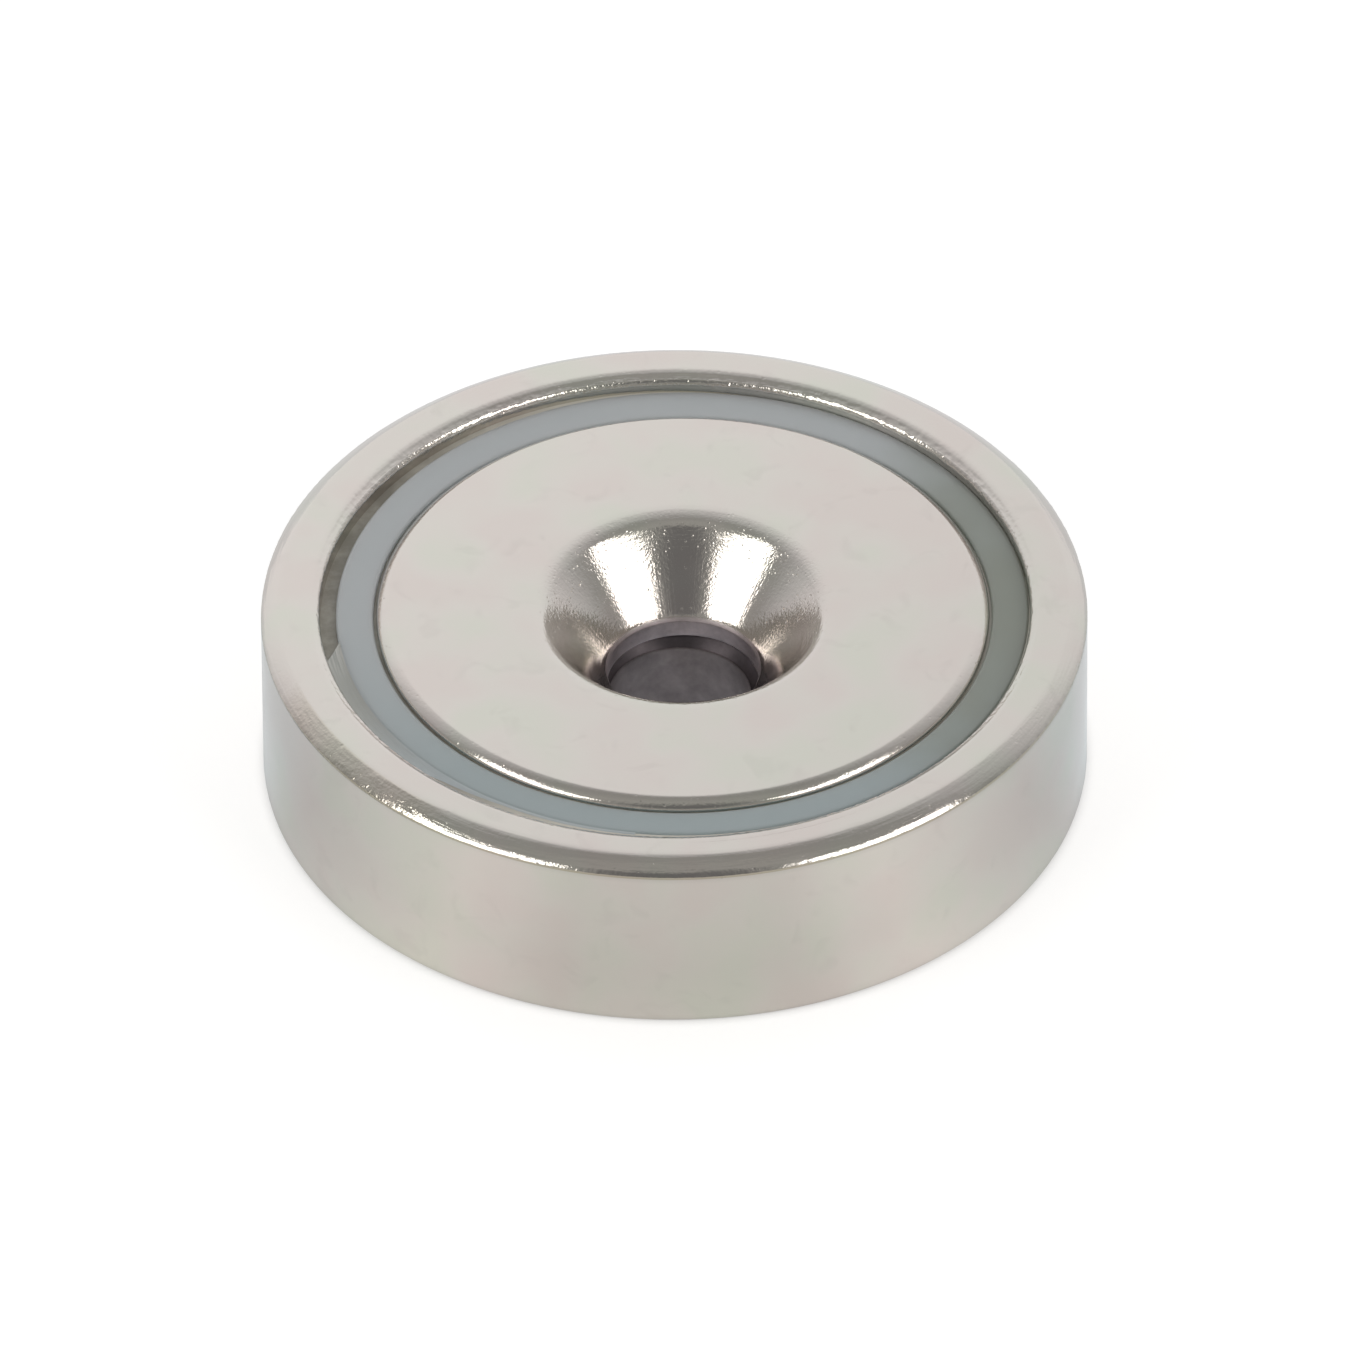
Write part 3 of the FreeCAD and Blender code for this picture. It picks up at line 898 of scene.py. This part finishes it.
def studioRoom(name, s, tones, towardsCamera):
    # white for the camera, and darkest around it in what the object mirrors
    room = bpy.data.worlds.new(name)
    room.use_nodes = True
    tree = room.node_tree
    tree.nodes.clear()
    towards = addNode(tree, "TexCoord").outputs["Generated"]
    parts = addNode(tree, "SeparateXYZ", {"Vector": towards})
    back = addNode(tree, "Math", {0: parts.outputs["Z"], 1: s["backdropLean"], 2: parts.outputs["Y"]},
                   operation="MULTIPLY_ADD")
    aside = addNode(tree, "Math", {0: parts.outputs["X"]}, operation="ABSOLUTE")
    back = addNode(tree, "Math", {0: aside, 1: s["backdropCurl"], 2: back}, operation="MULTIPLY_ADD")
    depth = addNode(tree, "MapRange", {"Value": back, "From Min": s["backdropEdge"] - 1.0,
                                       "From Max": s["backdropEdge"] + 1.0})
    backdrop = addNode(tree, "ValToRGB", {"Fac": depth})
    fillRamp(backdrop.color_ramp, [(0.5 + 0.5 * y, (level, level, blue)) for y, level, blue in tones])
    nearness = addNode(tree, "VectorMath", {0: towards, 1: tuple(towardsCamera)}, operation="DOT_PRODUCT")
    shade = addNode(tree, "MapRange", {
        "Value": nearness.outputs["Value"], "From Min": math.cos(math.radians(s["shadeWidth"])),
        "From Max": math.cos(math.radians(s["shadeCore"]))}, interpolation_type="SMOOTHSTEP")
    dimmed = addNode(tree, "Mix", {0: shade, 6: backdrop, 7: grey(s["shade"])}, data_type="RGBA")
    rays = addNode(tree, "LightPath")
    shown = addNode(tree, "Mix", {0: rays.outputs["Is Camera Ray"], 6: dimmed.outputs[2], 7: grey(1)},
                    data_type="RGBA")
    sky = addNode(tree, "Background", {"Color": shown.outputs[2]})
    addNode(tree, "OutputWorld", {"Surface": sky})
    return room


def addSoftbox(name, side, s):
    # side is -1 for the camera's left and 1 for its right
    turnAngle = math.radians(side * s["boxTurn"])
    height = math.radians(s["boxHeight"])
    direction = Vector((math.sin(turnAngle) * math.cos(height), -math.cos(turnAngle) * math.cos(height),
                        math.sin(height)))
    bpy.ops.object.select_all(action="DESELECT")
    bpy.ops.object.light_add(type="AREA", location=direction * s["boxDistance"])
    box = bpy.context.object
    box.name = name
    box.rotation_euler = direction.to_track_quat("Z", "Y").to_euler()
    box.visible_camera = False
    box.data.shape = "RECTANGLE"
    box.data.size = s["boxWidth"]
    box.data.size_y = s["boxTall"]
    box.data.color = s["boxColour"]
    # the watts that give an area light this radiance
    box.data.energy = s["boxGlow"] * math.pi * s["boxWidth"] * s["boxTall"]


bpy.ops.object.select_all(action="DESELECT")
bpy.ops.mesh.primitive_plane_add(size=stage["floor"], location=(0, 0, 0))
floor = bpy.context.object
floor.name = "floor"
floor.data.materials.append(studioPaper("paleStudioPaper", stage, floorTones))
bpy.context.scene.world = studioRoom("studio", stage, roomTones, backwards)
addSoftbox("softbox_left", -1, stage)
addSoftbox("softbox_right", 1, stage)
print("floor and light made")

bpy.ops.object.camera_add()
camera = bpy.context.object
camera.location = (backwards * view["distance"] + Vector((view["aimRight"], 0, view["aimHeight"]))
                   + upwards * view["aimUp"])
camera.rotation_euler = (Matrix.Rotation(math.pi / 2 - elevation, 3, "X")
                         @ Matrix.Rotation(math.radians(view["roll"]), 3, "Z")).to_euler()
camera.data.sensor_width = view["sensor"]
camera.data.lens = view["lens"]
camera.data.clip_start = 0.01
camera.data.clip_end = 10
bpy.context.scene.camera = camera
bpy.context.scene.view_settings.view_transform = "Standard"
print("camera made")
